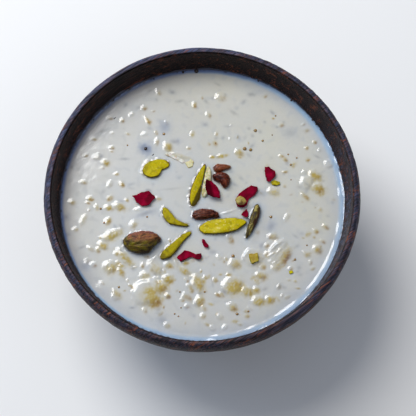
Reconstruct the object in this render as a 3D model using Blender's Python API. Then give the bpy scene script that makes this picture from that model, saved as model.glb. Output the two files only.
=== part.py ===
"""A bowl of kheer: creamy rice pudding in a turned wooden bowl, with pistachios, raisins and rose petals.

The bowl stands on its foot with the origin under its centre, +Z up and +Y away from the eater.
All the sizes below are in millimetres, and the meshes are in metres.
"""

import math

import bmesh
import bpy
from mathutils import Matrix, Vector

MM = 0.001
CLEARANCE = 0.3          # free gap between pieces that touch in the real dish
FACET_SPARE = 0.05       # what a pocket's flat facets would otherwise take from that gap

# The bowl, a turned shape: a superellipse outside and in, a rounded lip and a low foot ring
RIM_RADIUS = 64.0        # the widest radius, just under the lip
BOWL_HEIGHT = 55.0
LIP_INNER_RADIUS = 60.4
LIP_CREST_RADIUS = 61.6
LIP_INNER_DROP = 0.9     # from the crest down to where the hollow begins
LIP_OUTER_DROP = 3.5     # from the crest down to the widest radius
HOLLOW_DEPTH = 45.5
OUTSIDE_DEPTH = 53.0
WALL_POWER = 1.9
FOOT_HEIGHT = 5.2        # where the outside curve meets the foot
FOOT_COVE = 1.6          # height of the hollow turned into the corner above the foot
FOOT_WAIST_RADIUS = 25.8
FOOT_RADIUS = 26.6
FOOT_EDGE = 0.8          # chamfer along the foot's lower edge
FOOT_INNER_RADIUS = 19.5
RECESS_RADIUS = 18.1
RECESS_DEPTH = 1.2
BOWL_SEGMENTS = 60

# The pudding
KHEER_DROP = 12.8        # from the bowl's crest down to the pudding's level
KHEER_LEVEL = BOWL_HEIGHT - KHEER_DROP
KHEER_SEGMENTS = 54
TOP_RINGS = 16

# Clumps of soft rice under the cream: x, y, radius along x, radius along y, height
CLUMPS = (
    (-23.0, -40.0, 5.6, 5.4, 1.8),
    (11.8, -36.4, 4.4, 4.2, 1.7),
    (33.8, -23.6, 4.6, 6.4, 1.6),
    (44.8, 6.4, 4.4, 6.0, 1.4),
    (-37.0, -15.4, 5.6, 3.4, 1.2),
    (21.4, -25.2, 4.2, 3.4, 1.2),
    (-2.2, -34.0, 3.4, 4.2, 1.1),
    (-38.4, -28.4, 4.4, 3.8, 1.0),
)

# Nuts and raisins: the ends of the piece's axis, then how far it reaches to the left and to the right
# of that axis at even steps of its rounded length, its half thickness, and its middle's height
# above the pudding. cut is the share of the half thickness where a sliced face lies.
NUTS = {
    "pistachio_bean": dict(
        start=(-24.5, 12.2), end=(-13.5, 16.6), stuff="pistachio",
        left=(1.5, 2.9, 3.6, 3.65, 3.3, 2.4, 1.1), right=(1.3, 2.7, 3.6, 3.5, 1.5, 1.8, 0.9),
        thickness=2.4, lift=0.3, cut=0.38, pitch=-3.0,
    ),
    "pistachio_whole": dict(
        start=(-32.2, -17.8), end=(-16.6, -16.2), stuff="pistachio_skin",
        left=(1.7, 3.0, 3.9, 4.15, 3.8, 2.9, 1.1), right=(1.7, 3.5, 4.9, 5.5, 4.9, 1.9, 1.0),
        thickness=4.4, lift=0.9,
    ),
    "pistachio_sliver_tall": dict(
        start=(-4.1, -2.2), end=(1.2, 16.0), stuff="pistachio",
        left=(1.4, 2.6, 2.6, 1.8, 0.8), right=(1.2, 1.9, 1.2, 0.8, 0.5),
        thickness=2.2, lift=0.7, cut=0.4, roll=16.0, pitch=3.0,
    ),
    "pistachio_sliver_curved": dict(
        start=(-16.0, -2.6), end=(-5.5, -10.4), stuff="pistachio",
        left=(0.6, 0.35, -0.6, -0.6, 0.4), right=(1.8, 3.5, 4.0, 2.3, 1.1),
        thickness=1.8, lift=0.5, cut=0.4,
    ),
    "pistachio_sliver_wide": dict(
        start=(-1.3, -11.6), end=(18.1, -8.9), stuff="pistachio",
        left=(1.5, 2.9, 2.9, 2.5, 1.3), right=(2.2, 3.1, 3.5, 3.0, 1.2),
        thickness=2.4, lift=0.7, cut=0.4, pitch=1.5,
    ),
    "pistachio_sliver_dark": dict(
        start=(17.9, -15.9), end=(22.6, -1.2), stuff="pistachio_skin",
        left=(0.7, 1.0, 1.15, 1.15, 0.8), right=(0.5, 1.4, 2.1, 2.2, 1.3),
        thickness=1.8, lift=0.7, pitch=3.0,
    ),
    "pistachio_sliver_low": dict(
        start=(-17.0, -24.0), end=(-4.7, -12.9), stuff="pistachio",
        left=(1.1, 1.5, 1.35, 1.4, 0.8), right=(1.8, 2.6, 1.9, 1.0, 0.9),
        thickness=2.0, lift=0.6, cut=0.4, pitch=-2.0,
    ),
    "almond_sliver": dict(
        start=(0.6, 2.0), end=(2.3, 15.0), stuff="almond",
        left=(0.6, 0.7, 0.6, 0.6, 0.3), right=(0.9, 1.4, 2.0, 1.7, 0.8),
        thickness=1.4, lift=0.4, cut=0.5,
    ),
    "raisin_long": dict(
        start=(-4.2, -6.2), end=(7.0, -6.6), stuff="raisin",
        left=(1.9, 2.8, 3.1, 2.8, 1.6), right=(1.2, 1.6, 1.2, 0.6, 0.3),
        thickness=2.3, lift=0.7,
    ),
    "raisin_folded": dict(
        start=(4.6, 11.3), end=(9.7, 6.0), stuff="raisin",
        left=(1.6, 3.2, 4.0, 3.8, 2.3), right=(0.8, 1.2, 0.5, 0.4, 0.6),
        thickness=2.0, lift=0.8,
    ),
    "raisin_flap": dict(
        start=(4.9, 14.2), end=(11.4, 14.9), stuff="raisin",
        left=(1.0, 1.3, 1.1, 0.7, 0.3), right=(1.2, 1.5, 1.1, 0.6, 0.3),
        thickness=0.9, lift=0.5,
    ),
    "nut_bit": dict(
        start=(13.5, 0.3), end=(18.0, -0.9), stuff="almond",
        left=(1.0, 1.7, 1.8, 1.5, 0.8), right=(1.0, 1.8, 2.0, 1.7, 0.9),
        thickness=1.0, lift=2.3, cut=0.7,
    ),
}
LYING_ON_A_PETAL = ("nut_bit",)

# Rose petals: an outline with the corners of the torn petal, the height of its middle above the
# pudding, its slope along x and along y, and how far its edge curls up
PETALS = {
    "petal_left": dict(
        outline=((-28.5, 2.2), (-27.3, 2.6), (-24.7, 3.8), (-21.8, 4.4), (-20.4, 2.9), (-19.0, 1.6),
                 (-20.7, -0.2), (-22.1, -2.0), (-24.7, -2.0), (-27.0, -0.5)),
        lift=0.4, slope=(0.0, 0.02), curl=0.5,
    ),
    "petal_centre": dict(
        outline=((1.6, 8.8), (4.2, 7.7), (6.4, 5.6), (7.1, 3.8), (7.4, 1.2), (4.2, 1.3), (2.2, 2.6),
                 (1.4, 4.4), (1.1, 6.5)),
        lift=1.9, slope=(-0.22, 0.04), curl=0.3,
    ),
    "petal_right": dict(
        outline=((22.5, 6.2), (22.8, 4.7), (21.4, 2.6), (19.0, 1.0), (18.2, -1.7), (16.4, -2.8),
                 (14.1, -2.4), (13.5, 0.7), (15.0, 3.2), (17.6, 5.3), (20.2, 6.9)),
        lift=0.4, slope=(0.0, 0.01), curl=0.3,
    ),
    "petal_far": dict(
        outline=((25.7, 14.6), (27.4, 14.7), (29.8, 13.0), (30.3, 11.1), (28.9, 9.5), (27.4, 8.3),
                 (26.3, 8.9), (25.8, 11.7)),
        lift=0.5, slope=(0.03, 0.02), curl=0.5,
    ),
    "petal_small": dict(
        outline=((18.2, -3.4), (18.7, -5.2), (18.5, -7.2), (17.4, -7.0), (15.9, -6.0), (16.7, -4.6)),
        lift=0.7, slope=(0.03, 0.03), curl=0.4,
    ),
    "petal_tiny": dict(
        outline=((-0.1, -16.2), (1.1, -16.6), (2.5, -18.7), (2.4, -20.0), (1.1, -19.6), (-0.1, -17.5)),
        lift=0.4, slope=(0.0, 0.0), curl=0.2,
    ),
    "petal_low": dict(
        outline=((-10.3, -23.9), (-7.3, -20.9), (-5.0, -21.2), (-2.7, -22.5), (-0.4, -22.1), (0.0, -23.5),
                 (-1.0, -24.7), (-2.1, -24.7), (-3.9, -23.7), (-6.2, -24.0), (-8.5, -25.7)),
        lift=0.5, slope=(0.02, 0.0), curl=0.3,
    ),
}
PETAL_THICKNESS = 0.5

# Surface colours, as linear red, green and blue, with roughness
FINISHES = {
    "wood": ((0.030, 0.017, 0.014), 0.42),
    "kheer": ((0.60, 0.61, 0.58), 0.25),
    "pistachio": ((0.50, 0.41, 0.02), 0.45),
    "pistachio_skin": ((0.20, 0.11, 0.04), 0.5),
    "almond": ((0.50, 0.45, 0.30), 0.45),
    "raisin": ((0.06, 0.014, 0.009), 0.35),
    "petal": ((0.20, 0.005, 0.022), 0.6),
}


def clear_scene():
    """Removes every object that the scene opened with."""
    for item in list(bpy.data.objects):
        bpy.data.objects.remove(item)


def finish(name):
    """The named material, made the first time it is asked for."""
    if name in bpy.data.materials:
        return bpy.data.materials[name]
    colour, roughness = FINISHES[name]
    material = bpy.data.materials.new(name)
    material.use_nodes = True
    shader = material.node_tree.nodes["Principled BSDF"]
    shader.inputs["Base Color"].default_value = (*colour, 1.0)
    shader.inputs["Roughness"].default_value = roughness
    material.diffuse_color = (*colour, 1.0)
    return material


def add_object(name, mesh_builder, material):
    """Turns a bmesh in millimetres into a named, smooth-shaded object in metres."""
    bmesh.ops.scale(mesh_builder, vec=(MM, MM, MM), verts=mesh_builder.verts)
    bmesh.ops.recalc_face_normals(mesh_builder, faces=mesh_builder.faces)
    mesh = bpy.data.meshes.new(name)
    mesh_builder.to_mesh(mesh)
    mesh_builder.free()
    mesh.shade_smooth()
    mesh.set_sharp_from_angle(angle=math.radians(40.0))
    item = bpy.data.objects.new(name, mesh)
    item.data.materials.append(finish(material))
    bpy.context.scene.collection.objects.link(item)
    return item


def superellipse(radius, depth, drop):
    """The radius of a bowl-shaped curve, drop millimetres below its widest level."""
    return radius * (1.0 - (drop / depth) ** WALL_POWER) ** (1.0 / WALL_POWER)


def inner_radius(z):
    """The hollow's radius at height z."""
    return superellipse(LIP_INNER_RADIUS, HOLLOW_DEPTH, BOWL_HEIGHT - LIP_INNER_DROP - z)


def outer_radius(z):
    """The outside's radius at height z."""
    return superellipse(RIM_RADIUS, OUTSIDE_DEPTH, BOWL_HEIGHT - LIP_OUTER_DROP - z)


def hollow_profile(top, inset, steps):
    """Points (radius, z) up the hollow, from its lowest point on the axis to the height top."""
    floor = BOWL_HEIGHT - LIP_INNER_DROP - HOLLOW_DEPTH
    points = [(0.0, floor + inset)]
    for step in range(1, steps + 1):
        share = math.sin(0.5 * math.pi * step / steps)
        z = floor + share * (top - floor)
        points.append((inner_radius(z) - inset, z + inset * (1.0 - share)))
    return points


def quarter_ellipse(centre, across, up, steps, rising):
    """Points of the lip's round edge between its crest and one side."""
    points = []
    for step in range(steps + 1):
        turn = 0.5 * math.pi * (step / steps if rising else 1.0 - step / steps)
        points.append((centre[0] + across * math.cos(turn), centre[1] + up * math.sin(turn)))
    return points


def spin_profile(profile, segments):
    """A bmesh of the profile turned once round Z. Its first and last points lie on the axis."""
    builder = bmesh.new()
    verts = [builder.verts.new((radius, 0.0, z)) for radius, z in profile]
    edges = [builder.edges.new(pair) for pair in zip(verts, verts[1:])]
    bmesh.ops.spin(
        builder, geom=verts + edges, cent=(0, 0, 0), axis=(0, 0, 1),
        angle=math.tau, steps=segments, use_merge=True,
    )
    bmesh.ops.remove_doubles(builder, verts=builder.verts, dist=1e-4)
    return builder


def make_bowl():
    """The turned wooden bowl: hollow, lip, outside, foot ring and the recess under it."""
    lip_inside = quarter_ellipse(
        (LIP_CREST_RADIUS, BOWL_HEIGHT - LIP_INNER_DROP),
        LIP_INNER_RADIUS - LIP_CREST_RADIUS, LIP_INNER_DROP, 3, rising=True,
    )
    lip_outside = quarter_ellipse(
        (LIP_CREST_RADIUS, BOWL_HEIGHT - LIP_OUTER_DROP),
        RIM_RADIUS - LIP_CREST_RADIUS, LIP_OUTER_DROP, 4, rising=False,
    )
    wall_steps = 8
    widest = BOWL_HEIGHT - LIP_OUTER_DROP
    outside = []
    for step in range(1, wall_steps + 1):
        z = widest - (widest - FOOT_HEIGHT) * math.sin(0.5 * math.pi * step / wall_steps)
        outside.append((outer_radius(z), z))
    cove_radius = FOOT_WAIST_RADIUS + 0.4 * (outer_radius(FOOT_HEIGHT) - FOOT_WAIST_RADIUS)
    foot = [
        (cove_radius, FOOT_HEIGHT - 0.4 * FOOT_COVE),
        (FOOT_WAIST_RADIUS, FOOT_HEIGHT - FOOT_COVE),
        (FOOT_RADIUS, FOOT_EDGE),
        (FOOT_RADIUS - FOOT_EDGE, 0.0),
        (FOOT_INNER_RADIUS, 0.0),
        (RECESS_RADIUS, RECESS_DEPTH),
        (0.0, RECESS_DEPTH),
    ]
    hollow = hollow_profile(BOWL_HEIGHT - LIP_INNER_DROP, 0.0, 10)
    profile = hollow[:-1] + lip_inside + lip_outside[1:] + outside + foot
    return add_object("bowl", spin_profile(profile, BOWL_SEGMENTS), "wood")


def kheer_relief(x, y):
    """How far the cream bulges over the clumps of rice at (x, y)."""
    rise = 0.0
    for cx, cy, rx, ry, height in CLUMPS:
        rise += height * math.exp(-((x - cx) / rx) ** 2 - ((y - cy) / ry) ** 2)
    return rise


def make_kheer(cutters):
    """The pudding: it fills the hollow up to its level and is cut round the sunk toppings."""
    side = hollow_profile(KHEER_LEVEL, CLEARANCE, 8)
    edge = side[-1][0]
    top = [(edge * (1.0 - ring / TOP_RINGS), KHEER_LEVEL) for ring in range(1, TOP_RINGS + 1)]
    builder = spin_profile(side + top, KHEER_SEGMENTS)
    for vert in builder.verts:
        reach = math.hypot(vert.co.x, vert.co.y)
        if vert.co.z > KHEER_LEVEL - 0.01 and reach < edge - 0.1:
            vert.co.z += kheer_relief(vert.co.x, vert.co.y)
    kheer = add_object("kheer", builder, "kheer")
    for cutter in cutters:
        pocket = kheer.modifiers.new("pocket_" + cutter.name, "BOOLEAN")
        pocket.operation = "DIFFERENCE"
        pocket.solver = "EXACT"
        pocket.object = cutter
    return kheer


def along(values, share):
    """A smooth curve through 0, the values and 0, read at share 0 to 1 of its length."""
    stops = (0.0, 0.0, *values, 0.0, 0.0)
    place = share * (len(values) + 1)
    index = min(int(place), len(values))
    t = place - index
    a, b, c, d = stops[index:index + 4]
    bend = (2 * a - 5 * b + 4 * c - d) * t * t
    twist = (3 * b - a - 3 * c + d) * t ** 3
    return 0.5 * (2 * b + (c - a) * t + bend + twist)


def make_nut(name, start, end, stuff, left, right, thickness, lift, cut=1.0, roll=0.0, pitch=0.0):
    """A nut, sliver or raisin: a round body drawn out along an axis, cut flat on top where it is sliced."""
    length = (Vector(end) - Vector(start)).length
    builder = bmesh.new()
    bmesh.ops.create_uvsphere(builder, u_segments=10, v_segments=10, radius=1.0)
    tilt = Matrix.Rotation(math.radians(roll), 3, "X")
    for vert in builder.verts:
        x, y, z = vert.co
        share = math.acos(max(-1.0, min(1.0, -z))) / math.pi
        to_left, to_right = along(left, share), along(right, share)
        turn = math.atan2(y, x)
        ring = math.sin(math.pi * share)
        if math.hypot(x, y) < 1e-6:
            ring = 0.0
        middle = 0.5 * (to_left - to_right)
        half = 0.5 * (to_left + to_right) * (1.0 if ring else 0.0)
        rise = min(math.sin(turn), cut) * thickness * ring ** 0.7
        flat = tilt @ Vector((0.0, half * math.cos(turn), rise))
        vert.co = Vector((0.5 * length * z, middle + flat.y, flat.z))
    heading = math.atan2(end[1] - start[1], end[0] - start[0])
    place = Matrix.Translation((0.5 * (start[0] + end[0]), 0.5 * (start[1] + end[1]), KHEER_LEVEL + lift))
    turned = Matrix.Rotation(heading, 4, "Z") @ Matrix.Rotation(math.radians(-pitch), 4, "Y")
    bmesh.ops.transform(builder, matrix=place @ turned, verts=builder.verts)
    return add_object(name, builder, stuff)


def make_cutter(piece):
    """A copy of the piece, swollen by the clearance, that cuts its pocket in the pudding."""
    builder = bmesh.new()
    builder.from_mesh(piece.data)
    swell = (CLEARANCE + FACET_SPARE) * MM
    moves = [vert.normal * swell for vert in builder.verts]
    for vert, move in zip(builder.verts, moves):
        vert.co += move
    mesh = bpy.data.meshes.new("cutter_" + piece.name)
    builder.to_mesh(mesh)
    builder.free()
    cutter = bpy.data.objects.new("cutter_" + piece.name, mesh)
    cutter.hide_render = True
    cutter.display_type = "WIRE"
    bpy.context.scene.collection.objects.link(cutter)
    return cutter


def make_petal(name, outline, lift, slope, curl):
    """A torn rose petal: a thin leaf with its outline's corners, a slope and a slightly raised edge."""
    count = len(outline)
    cx = sum(x for x, _ in outline) / count
    cy = sum(y for _, y in outline) / count
    spread = max(math.hypot(x - cx, y - cy) for x, y in outline)

    def height(x, y):
        """The petal's lower side at (x, y)."""
        edge = math.hypot(x - cx, y - cy) / spread
        return KHEER_LEVEL + lift + slope[0] * (x - cx) + slope[1] * (y - cy) + curl * edge * edge

    builder = bmesh.new()
    layers = []
    for offset in (0.0, PETAL_THICKNESS):
        rim = [builder.verts.new((x, y, height(x, y) + offset)) for x, y in outline]
        hub = builder.verts.new((cx, cy, height(cx, cy) + offset))
        layers.append((rim, hub))
    for index in range(count):
        after = (index + 1) % count
        (low, low_hub), (high, high_hub) = layers
        builder.faces.new((low_hub, low[after], low[index]))
        builder.faces.new((high_hub, high[index], high[after]))
        builder.faces.new((low[index], low[after], high[after], high[index]))
    return add_object(name, builder, "petal")


def main():
    """Builds the bowl, the toppings, the pudding cut round them, and the petals."""
    clear_scene()
    make_bowl()
    cutters = []
    for name, shape in NUTS.items():
        nut = make_nut(name, **shape)
        if name not in LYING_ON_A_PETAL:
            cutters.append(make_cutter(nut))
    make_kheer(cutters)
    for name, shape in PETALS.items():
        make_petal(name, **shape)


main()
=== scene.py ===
"""The looks of the bowl of kheer: dark wood, creamy rice pudding, nuts, raisins and rose petals."""
import math

import bmesh
import bpy
import numpy as np
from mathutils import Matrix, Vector
from mathutils.bvhtree import BVHTree


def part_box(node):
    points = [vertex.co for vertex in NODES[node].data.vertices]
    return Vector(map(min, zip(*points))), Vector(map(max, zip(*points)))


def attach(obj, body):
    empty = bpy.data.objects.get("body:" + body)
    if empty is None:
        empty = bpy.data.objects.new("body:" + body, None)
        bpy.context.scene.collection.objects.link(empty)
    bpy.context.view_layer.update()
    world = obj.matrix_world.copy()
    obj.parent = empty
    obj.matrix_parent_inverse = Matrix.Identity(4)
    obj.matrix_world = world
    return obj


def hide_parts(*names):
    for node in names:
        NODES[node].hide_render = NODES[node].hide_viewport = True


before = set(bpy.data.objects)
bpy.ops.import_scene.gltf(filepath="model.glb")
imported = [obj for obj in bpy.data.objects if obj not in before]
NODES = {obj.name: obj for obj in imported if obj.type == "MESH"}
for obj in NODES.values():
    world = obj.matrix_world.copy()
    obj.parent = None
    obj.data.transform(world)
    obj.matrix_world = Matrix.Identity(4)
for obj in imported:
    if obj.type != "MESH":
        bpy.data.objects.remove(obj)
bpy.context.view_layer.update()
MM = 0.001
BODY = "root"

# -------- sizes, read from the frame
BOWL_LOW, BOWL_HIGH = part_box("bowl")
RIM_RADIUS = 0.5 * (BOWL_HIGH.x - BOWL_LOW.x) / MM
BOWL_HEIGHT = BOWL_HIGH.z / MM


def rows_of(piece, key):
    """One row for each of the piece's vertices: its place, "co", or its direction, "normal"."""
    flat = np.empty(len(piece.data.vertices) * 3, np.float32)
    piece.data.vertices.foreach_get(key, flat)
    return flat.reshape(-1, 3).astype(float)


def vertices_of(piece):
    """The piece's vertices in millimetres, one row each."""
    return rows_of(piece, "co") / MM


def kheer_level():
    """The height of the pudding's edge, which is the outermost ring of its solid."""
    points = vertices_of(NODES["kheer"])
    reach = np.hypot(points[:, 0], points[:, 1])
    return points[reach > reach.max() - 0.2, 2].max()


LEVEL = kheer_level()

# The bowl's turned profile, as the solid has it, in millimetres
LIP_INNER_RADIUS = RIM_RADIUS - 3.6
LIP_CREST_RADIUS = RIM_RADIUS - 2.4
LIP_INNER_DROP = 0.9
LIP_OUTER_DROP = 3.5
HOLLOW_DEPTH = 45.5
OUTSIDE_DEPTH = 53.0
WALL_POWER = 1.9
FOOT_HEIGHT = 5.2
FOOT_COVE = 1.6
FOOT_WAIST_RADIUS = 25.8
FOOT_RADIUS = 26.6
FOOT_EDGE = 0.8
FOOT_INNER_RADIUS = 19.5
RECESS_RADIUS = 18.1
RECESS_DEPTH = 1.2


# -------- small helpers
def rgb(red, green, blue):
    """A display colour, 0 to 255, as linear values."""
    return np.array([((c / 255 + 0.055) / 1.055) ** 2.4 if c > 10 else c / 255 / 12.92
                     for c in (red, green, blue)])


def smoothstep(low, high, value):
    """A smooth rise from 0 at low to 1 at high, or a fall where low lies above high."""
    t = np.clip((value - low) / (high - low), 0.0, 1.0)
    return t * t * (3 - 2 * t)


def mix(a, b, share):
    """Blends colour a, one or a row for each point, towards colour b by a share held between 0 and 1."""
    share = np.clip(share, 0, 1)[..., None]
    return a * (1 - share) + b * share


def noise(points, size, seed=0):
    """Smooth gradient noise, about -1 to 1, at rows of points, with features about size across."""
    rng = np.random.default_rng(1000 + seed)
    table = rng.permutation(256)
    slopes = rng.normal(size=(256, 3))
    slopes /= np.linalg.norm(slopes, axis=1)[:, None]
    p = np.asarray(points, float) / size
    cell = np.floor(p).astype(int)
    inside = p - cell
    fade = inside ** 3 * (inside * (inside * 6 - 15) + 10)
    total = np.zeros(len(p))
    for corner in range(8):
        step = np.array([corner & 1, corner >> 1 & 1, corner >> 2 & 1])
        key = (cell + step) & 255
        slot = table[(table[(table[key[:, 0]] + key[:, 1]) & 255] + key[:, 2]) & 255]
        weight = np.prod(np.where(step, fade, 1 - fade), axis=1)
        total += weight * np.einsum("ij,ij->i", slopes[slot], inside - step)
    return total * 1.6


def placed(name, data):
    """A new object in the scene, made of a mesh, a light or a camera."""
    made = bpy.data.objects.new(name, data)
    bpy.context.scene.collection.objects.link(made)
    return made


def bridged(rings):
    """The faces between rings of vertices, given as rows of vertex numbers."""
    after = np.roll(rings, -1, axis=1)
    return np.stack([rings[:-1], rings[1:], after[1:], after[:-1]], -1).reshape(-1, 4)


def new_object(name, vertices, faces, material, replaced=()):
    """A smooth-shaded piece from points in millimetres, riding on the body."""
    mesh = bpy.data.meshes.new(name)
    mesh.from_pydata((np.asarray(vertices) * MM).tolist(), [], faces)
    mesh.validate()
    mesh.shade_smooth()
    return adopt(placed(name, mesh), material, replaced)


def adopt(piece, material, replaced=()):
    """Gives a piece its material and the body it rides on."""
    piece.data.materials.clear()
    piece.data.materials.append(material)
    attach(piece, BODY)
    if replaced:
        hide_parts(*replaced)
    return piece


def paint(piece, colours):
    """Stores one linear colour for each vertex."""
    layer = piece.data.color_attributes.new("tint", "FLOAT_COLOR", "POINT")
    rows = np.ones((len(piece.data.vertices), 4), np.float32)
    rows[:, :3] = np.clip(colours, 0, 1)
    layer.data.foreach_set("color", rows.ravel())


def normals_of(piece):
    """The direction that each vertex faces, one row each."""
    return rows_of(piece, "normal")


def move_vertices(piece, points):
    """Puts the piece's vertices at the points, in millimetres."""
    piece.data.vertices.foreach_set("co", (points * MM).astype(np.float32).ravel())
    piece.data.update()


def swell(piece, heights):
    """Moves each vertex outwards by its height in millimetres, or inwards where that is negative."""
    move_vertices(piece, vertices_of(piece) + normals_of(piece) * heights[:, None])


# -------- materials
MIX_A, MIX_B, MIX_RESULT = 6, 7, 2  # the colour sockets of Blender's Mix node


class Shader:
    """A Principled material and the few node calls that these materials need."""

    def __init__(self, name, **values):
        self.material = bpy.data.materials.new(name)
        self.material.use_nodes = True
        self.tree = self.material.node_tree
        self.main = self.tree.nodes["Principled BSDF"]
        for key, value in values.items():
            self.main.inputs[key.replace("_", " ")].default_value = value

    def node(self, kind, inputs=(), **settings):
        """A node with its settings, and with a constant or another node's output for each input."""
        made = self.tree.nodes.new(kind)
        for key, value in settings.items():
            setattr(made, key, value)
        for key, value in dict(inputs).items():
            self.set(made.inputs[key], value)
        return made

    def link(self, output, target):
        self.tree.links.new(output, target)

    def set(self, socket, value):
        """Puts a constant or another node's output into a socket."""
        if isinstance(value, bpy.types.NodeSocket):
            self.link(value, socket)
        else:
            socket.default_value = value

    def tint(self):
        return self.node("ShaderNodeVertexColor", layer_name="tint").outputs["Color"]

    def position(self, scale=(1, 1, 1), turn=(0, 0, 0), place=(0, 0, 0)):
        """The surface point in millimetres, turned and stretched."""
        where = self.node("ShaderNodeTexCoord").outputs["Object"]
        rotation = [math.radians(a) for a in turn]
        turned = self.node("ShaderNodeMapping", dict(Vector=where, Rotation=rotation), vector_type="POINT")
        inputs = {0: turned.outputs["Vector"], 1: [s / MM for s in scale], 2: place}
        return self.node("ShaderNodeVectorMath", inputs, operation="MULTIPLY_ADD").outputs["Vector"]

    def noise(self, vector, scale, detail=3.0, roughness=0.5, distortion=0.0):
        inputs = dict(Vector=vector, Scale=scale, Detail=detail, Roughness=roughness, Distortion=distortion)
        return self.node("ShaderNodeTexNoise", inputs).outputs["Fac"]

    def ramp(self, value, stops):
        """Colours or grey levels, placed from 0 to 1 along the value."""
        made = self.node("ShaderNodeValToRGB", dict(Fac=value))
        ramp = made.color_ramp
        while len(ramp.elements) < len(stops):
            ramp.elements.new(0.5)
        for element, (place, colour) in zip(ramp.elements, stops):
            element.position = place
            level = colour if isinstance(colour, (tuple, list, np.ndarray)) else (colour,) * 3
            element.color = (*level, 1.0)
        return made.outputs["Color"]

    def blend(self, share, a, b, kind="MIX"):
        inputs = {"Factor": share, MIX_A: a, MIX_B: b}
        return self.node("ShaderNodeMix", inputs, data_type="RGBA", blend_type=kind).outputs[MIX_RESULT]

    def math(self, operation, a, b=0.0):
        return self.node("ShaderNodeMath", {0: a, 1: b}, operation=operation).outputs[0]

    def bump(self, height, distance, strength=1.0):
        """Roughens the surface, by a distance in millimetres."""
        inputs = dict(Height=height, Distance=distance * MM, Strength=strength)
        self.link(self.node("ShaderNodeBump", inputs).outputs["Normal"], self.main.inputs["Normal"])


GRAIN_TURN = 35.0  # the direction of the bowl's grain, in degrees from +X towards +Y


def wood_material():
    """Near-black stained wood with fine pores and thin orange-brown streaks along its grain."""
    s = Shader("dark_wood", Roughness=0.45, IOR=1.5, Specular_IOR_Level=0.22)
    along = dict(turn=(0, 0, -GRAIN_TURN))
    fibres = s.noise(s.position(scale=(0.06, 1.0, 1.0), **along), 1.7, 5.0, 0.70)
    threads = s.noise(s.position(scale=(0.030, 1.0, 1.0), **along), 1.6, 3.0, 0.6, 0.2)
    wide = s.noise(s.position(scale=(0.045, 0.40, 0.40), **along), 0.7, 3.0, 0.6, 0.3)
    dark = s.ramp(fibres, [(0.34, rgb(6, 4, 4)), (0.50, rgb(23, 13, 12)), (0.70, rgb(54, 31, 27))])
    streak = s.ramp(s.math("MULTIPLY", threads, wide), [(0.31, 0.0), (0.37, 0.85)])
    hatch = s.noise(s.position(scale=(0.05, 1.0, 1.0), place=(31, 7, 3), **along), 2.3, 2.0, 0.5)
    lines = s.ramp(hatch, [(0.58, 0.0), (0.66, 0.42)])
    # the painted tint: the lip's dust with its painted reflection, worn edges and the inner wall's painted
    # sheen
    dust_and_sheen = s.blend(1.0, s.tint(), s.ramp(fibres, [(0.38, 0.15), (0.62, 1.5)]), "MULTIPLY")
    stained = s.blend(1.0, dark, dust_and_sheen, "ADD")
    grooves = s.ramp(hatch, [(0.38, 0.30), (0.47, 1.0)])
    lined = s.blend(lines, s.blend(1.0, stained, grooves, "MULTIPLY"), (*rgb(112, 66, 46), 1.0))
    s.link(s.blend(streak, lined, (*rgb(122, 66, 42), 1.0)), s.main.inputs["Base Color"])
    s.link(s.ramp(fibres, [(0.3, 0.66), (0.7, 0.40)]), s.main.inputs["Roughness"])
    s.bump(fibres, 0.40, 0.9)
    return s.material


def kheer_material():
    """Wet, milky cream: the painted colour, faintly mottled."""
    s = Shader("kheer_cream", Roughness=0.10, IOR=1.38, Specular_IOR_Level=1.0,
               Subsurface_Weight=0.35, Subsurface_Scale=1.6 * MM)
    s.main.inputs["Subsurface Radius"].default_value = (1.0, 0.85, 0.62)
    fine = s.noise(s.position(), 1.6, 3.0, 0.6)
    grain = s.ramp(fine, [(0.25, 0.955), (0.75, 1.0)])
    s.link(s.blend(1.0, s.tint(), grain, "MULTIPLY"), s.main.inputs["Base Color"])
    return s.material


def flesh_material(name, roughness, subsurface, bump_size, bump_height, mottle, gloss=0.5):
    """Nut flesh, raisin skin or petal: painted colour, mottled and finely bumped."""
    s = Shader(name, Roughness=roughness, Specular_IOR_Level=gloss,
               Subsurface_Weight=subsurface, Subsurface_Scale=0.6 * MM)
    fine = s.noise(s.position(), bump_size, 4.0, 0.6)
    s.link(s.blend(1.0, s.tint(), s.ramp(fine, mottle), "MULTIPLY"), s.main.inputs["Base Color"])
    s.bump(fine, bump_height)
    return s.material


WOOD = wood_material()
CREAM = kheer_material()
NUT = flesh_material("pistachio_flesh", 0.5, 0.10, 2.0, 0.12, [(0.3, 0.74), (0.7, 1.0)], gloss=0.08)
SKIN = flesh_material("pistachio_skin", 0.5, 0.05, 2.2, 0.22, [(0.3, 0.45), (0.7, 1.0)], gloss=0.22)
ALMOND = flesh_material("almond_flesh", 0.5, 0.2, 1.6, 0.10, [(0.3, 0.80), (0.7, 1.0)], gloss=0.3)
RAISIN = flesh_material("raisin_skin", 0.30, 0.05, 1.3, 0.20, [(0.3, 0.5), (0.7, 1.0)], gloss=0.22)
BUBBLE = flesh_material("bubble_film", 0.08, 0.3, 2.0, 0.0, [(0.3, 0.8), (0.7, 1.0)], gloss=0.6)
PETAL = flesh_material("rose_petal", 0.7, 0.05, 2.6, 0.07, [(0.3, 0.72), (0.7, 1.0)], gloss=0.03)


# -------- the bowl
def superellipse(radius, depth, drop):
    """The radius of a bowl-shaped curve, drop below its widest level."""
    return radius * (1.0 - np.clip(drop / depth, 0.0, 1.0) ** WALL_POWER) ** (1.0 / WALL_POWER)


def inner_radius(z):
    """The hollow's radius at height z."""
    return superellipse(LIP_INNER_RADIUS, HOLLOW_DEPTH, BOWL_HEIGHT - LIP_INNER_DROP - z)


def outer_radius(z):
    """The outside's radius at height z."""
    return superellipse(RIM_RADIUS, OUTSIDE_DEPTH, BOWL_HEIGHT - LIP_OUTER_DROP - z)


def arc(centre_r, centre_z, across, up, turns):
    """Points of an ellipse's arc, as radius and height."""
    return [(centre_r + across * math.cos(t), centre_z + up * math.sin(t)) for t in turns]


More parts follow.
